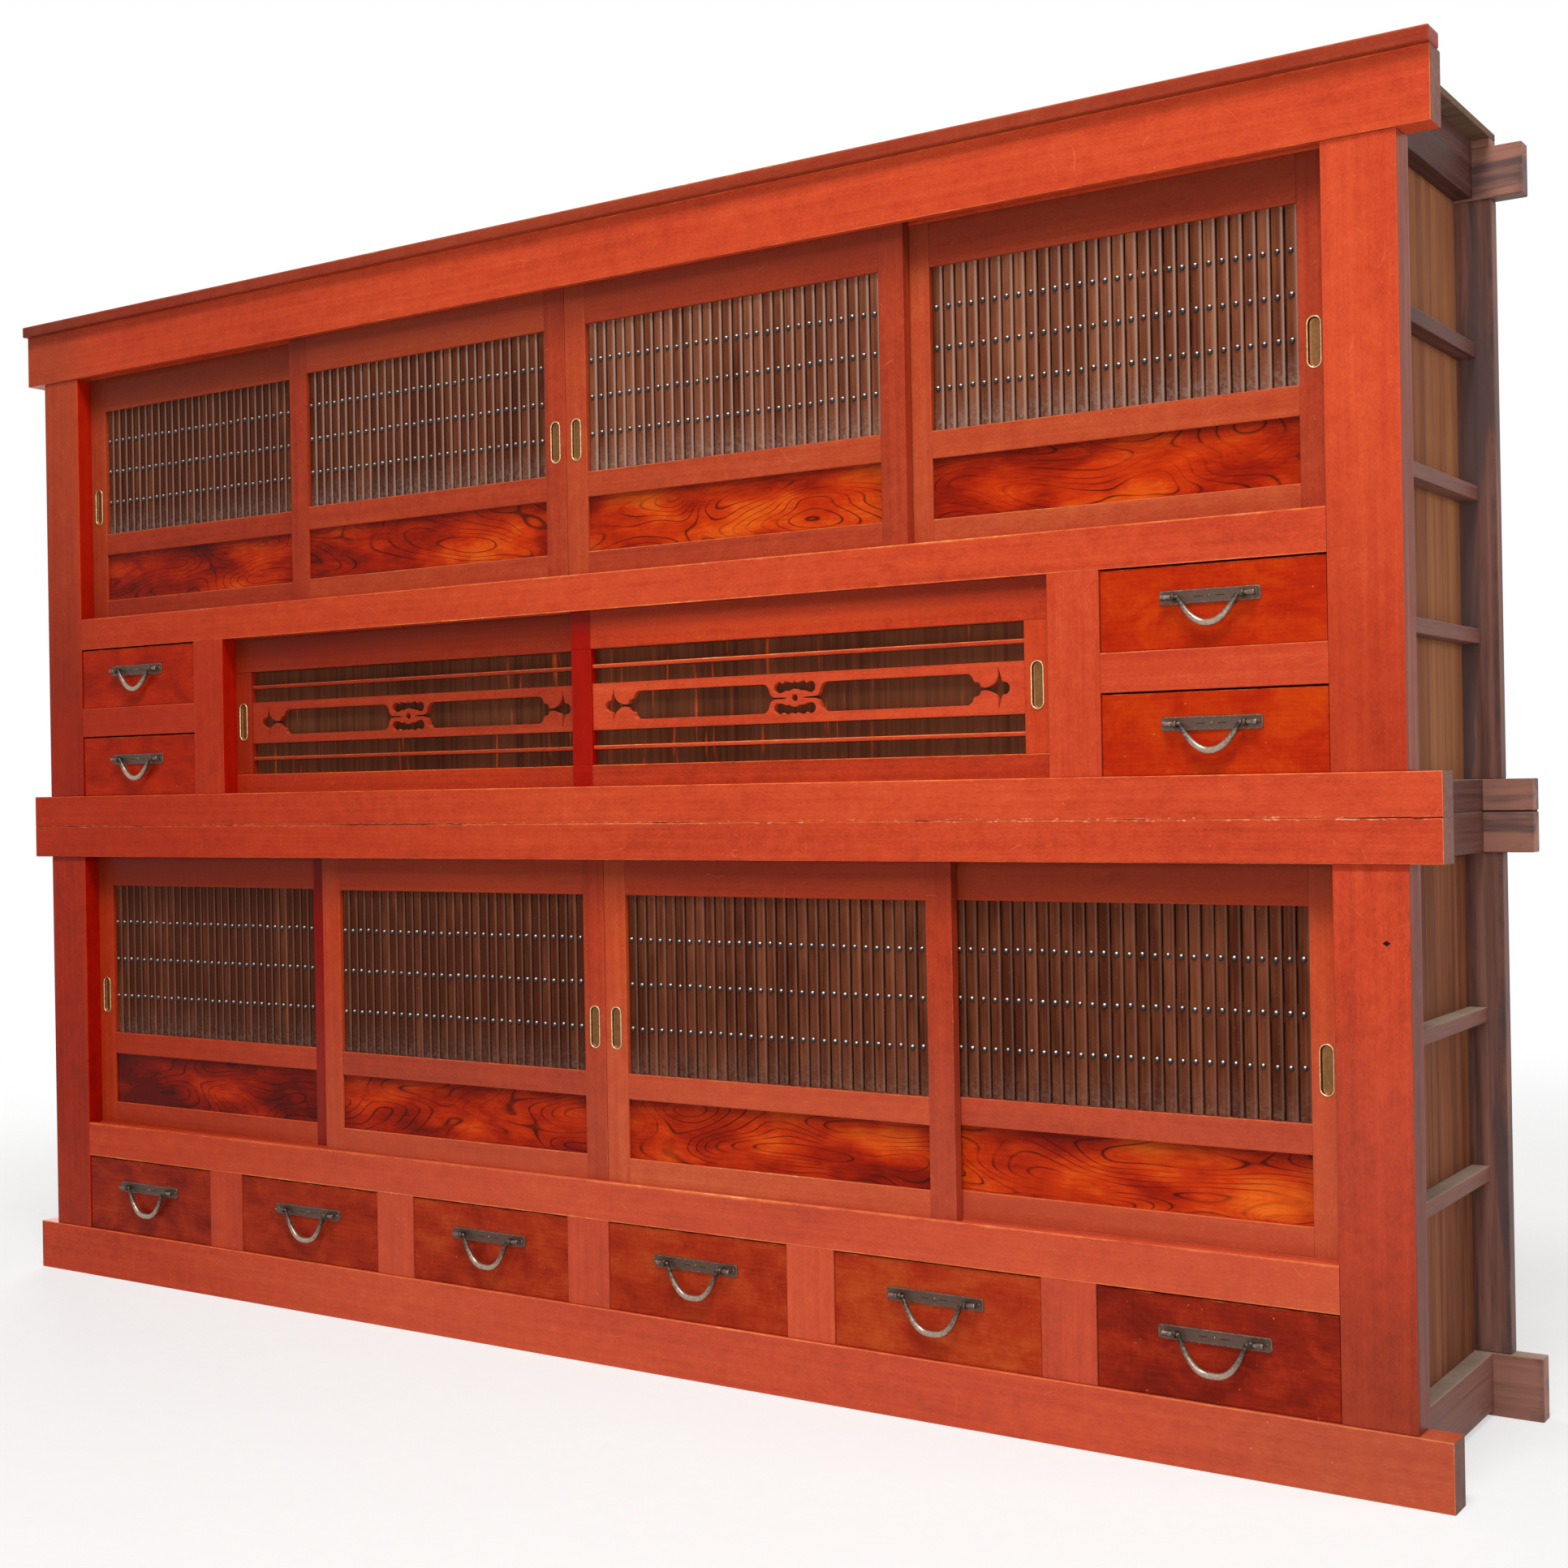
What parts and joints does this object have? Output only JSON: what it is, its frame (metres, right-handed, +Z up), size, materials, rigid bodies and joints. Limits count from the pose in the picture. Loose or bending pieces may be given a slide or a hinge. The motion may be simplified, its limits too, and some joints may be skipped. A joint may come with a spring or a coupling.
{
  "type": "kitchen cabinet",
  "caption": "Wide two-stage wooden kitchen cabinet with slatted sliding doors, low carved sliding doors between stacked drawers, and a row of drawers with iron bails.",
  "frame": {"origin": "centre of the bounding box's footprint, on the floor", "axes": "+X along the front to the right as seen from the front, -Y out of the front, +Z up"},
  "size_m": [2.732, 0.4746, 1.83],
  "materials": {
    "red_lacquer_wood": "worn red-orange lacquer",
    "door_wood": "worn red-orange lacquer with amber burl boards and brass pulls",
    "drawer_wood": "mottled amber and dark red lacquer, iron handle plate",
    "slat_wood": "dark brown slats",
    "stained_wood": "dark stained, dusty",
    "wrought_iron": "hand-rubbed black iron"
  },
  "bodies": {
    "root": {"roof_boards": "stained_wood", "cornice_strip": "red_lacquer_wood", "upper_header": "red_lacquer_wood", "upper_front_posts": "red_lacquer_wood", "upper_middle_rail": "red_lacquer_wood", "upper_sill": "red_lacquer_wood", "upper_rear_frame": "stained_wood", "upper_side_walls": "stained_wood", "upper_back_boards": "stained_wood", "upper_floors": "stained_wood", "upper_dividers": "stained_wood", "lower_top_beam": "red_lacquer_wood", "lower_front_posts": "red_lacquer_wood", "lower_middle_rail": "red_lacquer_wood", "lower_plinth": "red_lacquer_wood", "lower_rear_frame": "stained_wood", "lower_side_walls": "stained_wood", "lower_back_boards": "stained_wood", "lower_floors": "stained_wood", "base_dividers": "stained_wood"},
    "upper_door_1": {"upper_door_1_frame": "door_wood", "upper_door_1_slats": "slat_wood"},
    "upper_door_2": {"upper_door_2_frame": "door_wood", "upper_door_2_slats": "slat_wood"},
    "upper_door_3": {"upper_door_3_frame": "door_wood", "upper_door_3_slats": "slat_wood"},
    "upper_door_4": {"upper_door_4_frame": "door_wood", "upper_door_4_slats": "slat_wood"},
    "lower_door_1": {"lower_door_1_frame": "door_wood", "lower_door_1_slats": "slat_wood"},
    "lower_door_2": {"lower_door_2_frame": "door_wood", "lower_door_2_slats": "slat_wood"},
    "lower_door_3": {"lower_door_3_frame": "door_wood", "lower_door_3_slats": "slat_wood"},
    "lower_door_4": {"lower_door_4_frame": "door_wood", "lower_door_4_slats": "slat_wood"},
    "transom_door_left": {"transom_door_left_frame": "door_wood", "transom_door_left_carving": "red_lacquer_wood"},
    "transom_door_right": {"transom_door_right_frame": "door_wood", "transom_door_right_carving": "red_lacquer_wood"},
    "side_drawer_left_bottom": {"side_drawer_left_bottom": "drawer_wood"},
    "side_drawer_left_bottom_bail": {"side_drawer_left_bottom_bail": "wrought_iron"},
    "side_drawer_left_top": {"side_drawer_left_top": "drawer_wood"},
    "side_drawer_left_top_bail": {"side_drawer_left_top_bail": "wrought_iron"},
    "side_drawer_right_bottom": {"side_drawer_right_bottom": "drawer_wood"},
    "side_drawer_right_bottom_bail": {"side_drawer_right_bottom_bail": "wrought_iron"},
    "side_drawer_right_top": {"side_drawer_right_top": "drawer_wood"},
    "side_drawer_right_top_bail": {"side_drawer_right_top_bail": "wrought_iron"},
    "base_drawer_1": {"base_drawer_1": "drawer_wood"},
    "base_drawer_1_bail": {"base_drawer_1_bail": "wrought_iron"},
    "base_drawer_2": {"base_drawer_2": "drawer_wood"},
    "base_drawer_2_bail": {"base_drawer_2_bail": "wrought_iron"},
    "base_drawer_3": {"base_drawer_3": "drawer_wood"},
    "base_drawer_3_bail": {"base_drawer_3_bail": "wrought_iron"},
    "base_drawer_4": {"base_drawer_4": "drawer_wood"},
    "base_drawer_4_bail": {"base_drawer_4_bail": "wrought_iron"},
    "base_drawer_5": {"base_drawer_5": "drawer_wood"},
    "base_drawer_5_bail": {"base_drawer_5_bail": "wrought_iron"},
    "base_drawer_6": {"base_drawer_6": "drawer_wood"},
    "base_drawer_6_bail": {"base_drawer_6_bail": "wrought_iron"}
  },
  "joints": [
    {"name": "upper_door_1_slide", "type": "slide", "parent": "root", "child": "upper_door_1", "axis": [1, 0, 0], "range_m": [0, 0.593]},
    {"name": "upper_door_2_slide", "type": "slide", "parent": "root", "child": "upper_door_2", "axis": [1, 0, 0], "range_m": [-0.569, 0]},
    {"name": "upper_door_3_slide", "type": "slide", "parent": "root", "child": "upper_door_3", "axis": [1, 0, 0], "range_m": [0, 0.617]},
    {"name": "upper_door_4_slide", "type": "slide", "parent": "root", "child": "upper_door_4", "axis": [1, 0, 0], "range_m": [-0.593, 0]},
    {"name": "lower_door_1_slide", "type": "slide", "parent": "root", "child": "lower_door_1", "axis": [1, 0, 0], "range_m": [0, 0.593]},
    {"name": "lower_door_2_slide", "type": "slide", "parent": "root", "child": "lower_door_2", "axis": [1, 0, 0], "range_m": [-0.63, 0]},
    {"name": "lower_door_3_slide", "type": "slide", "parent": "root", "child": "lower_door_3", "axis": [1, 0, 0], "range_m": [0, 0.556]},
    {"name": "lower_door_4_slide", "type": "slide", "parent": "root", "child": "lower_door_4", "axis": [1, 0, 0], "range_m": [-0.593, 0]},
    {"name": "transom_door_left_slide", "type": "slide", "parent": "root", "child": "transom_door_left", "axis": [1, 0, 0], "range_m": [0, 0.8065]},
    {"name": "transom_door_right_slide", "type": "slide", "parent": "root", "child": "transom_door_right", "axis": [1, 0, 0], "range_m": [-0.8065, 0]},
    {"name": "side_drawer_left_bottom_slide", "type": "slide", "parent": "root", "child": "side_drawer_left_bottom", "axis": [0, -1, 0], "range_m": [0, 0.3]},
    {"name": "side_drawer_left_bottom_bail_hinge", "type": "hinge", "parent": "side_drawer_left_bottom", "child": "side_drawer_left_bottom_bail", "pos_m": [-1.064, -0.23055, 0.983], "axis": [-1, 0, 0], "range_deg": [0, 165]},
    {"name": "side_drawer_left_top_slide", "type": "slide", "parent": "root", "child": "side_drawer_left_top", "axis": [0, -1, 0], "range_m": [0, 0.3]},
    {"name": "side_drawer_left_top_bail_hinge", "type": "hinge", "parent": "side_drawer_left_top", "child": "side_drawer_left_top_bail", "pos_m": [-1.064, -0.23055, 1.15], "axis": [-1, 0, 0], "range_deg": [0, 165]},
    {"name": "side_drawer_right_bottom_slide", "type": "slide", "parent": "root", "child": "side_drawer_right_bottom", "axis": [0, -1, 0], "range_m": [0, 0.3]},
    {"name": "side_drawer_right_bottom_bail_hinge", "type": "hinge", "parent": "side_drawer_right_bottom", "child": "side_drawer_right_bottom_bail", "pos_m": [1.064, -0.23055, 0.983], "axis": [-1, 0, 0], "range_deg": [0, 165]},
    {"name": "side_drawer_right_top_slide", "type": "slide", "parent": "root", "child": "side_drawer_right_top", "axis": [0, -1, 0], "range_m": [0, 0.3]},
    {"name": "side_drawer_right_top_bail_hinge", "type": "hinge", "parent": "side_drawer_right_top", "child": "side_drawer_right_top_bail", "pos_m": [1.064, -0.23055, 1.15], "axis": [-1, 0, 0], "range_deg": [0, 165]},
    {"name": "base_drawer_1_slide", "type": "slide", "parent": "root", "child": "base_drawer_1", "axis": [0, -1, 0], "range_m": [0, 0.3]},
    {"name": "base_drawer_1_bail_hinge", "type": "hinge", "parent": "base_drawer_1", "child": "base_drawer_1_bail", "pos_m": [-1.05292, -0.23055, 0.1765], "axis": [-1, 0, 0], "range_deg": [0, 165]},
    {"name": "base_drawer_2_slide", "type": "slide", "parent": "root", "child": "base_drawer_2", "axis": [0, -1, 0], "range_m": [0, 0.3]},
    {"name": "base_drawer_2_bail_hinge", "type": "hinge", "parent": "base_drawer_2", "child": "base_drawer_2_bail", "pos_m": [-0.63175, -0.23055, 0.1765], "axis": [-1, 0, 0], "range_deg": [0, 165]},
    {"name": "base_drawer_3_slide", "type": "slide", "parent": "root", "child": "base_drawer_3", "axis": [0, -1, 0], "range_m": [0, 0.3]},
    {"name": "base_drawer_3_bail_hinge", "type": "hinge", "parent": "base_drawer_3", "child": "base_drawer_3_bail", "pos_m": [-0.21058, -0.23055, 0.1765], "axis": [-1, 0, 0], "range_deg": [0, 165]},
    {"name": "base_drawer_4_slide", "type": "slide", "parent": "root", "child": "base_drawer_4", "axis": [0, -1, 0], "range_m": [0, 0.3]},
    {"name": "base_drawer_4_bail_hinge", "type": "hinge", "parent": "base_drawer_4", "child": "base_drawer_4_bail", "pos_m": [0.21058, -0.23055, 0.1765], "axis": [-1, 0, 0], "range_deg": [0, 165]},
    {"name": "base_drawer_5_slide", "type": "slide", "parent": "root", "child": "base_drawer_5", "axis": [0, -1, 0], "range_m": [0, 0.3]},
    {"name": "base_drawer_5_bail_hinge", "type": "hinge", "parent": "base_drawer_5", "child": "base_drawer_5_bail", "pos_m": [0.63175, -0.23055, 0.1765], "axis": [-1, 0, 0], "range_deg": [0, 165]},
    {"name": "base_drawer_6_slide", "type": "slide", "parent": "root", "child": "base_drawer_6", "axis": [0, -1, 0], "range_m": [0, 0.3]},
    {"name": "base_drawer_6_bail_hinge", "type": "hinge", "parent": "base_drawer_6", "child": "base_drawer_6_bail", "pos_m": [1.05292, -0.23055, 0.1765], "axis": [-1, 0, 0], "range_deg": [0, 165]}
  ]
}
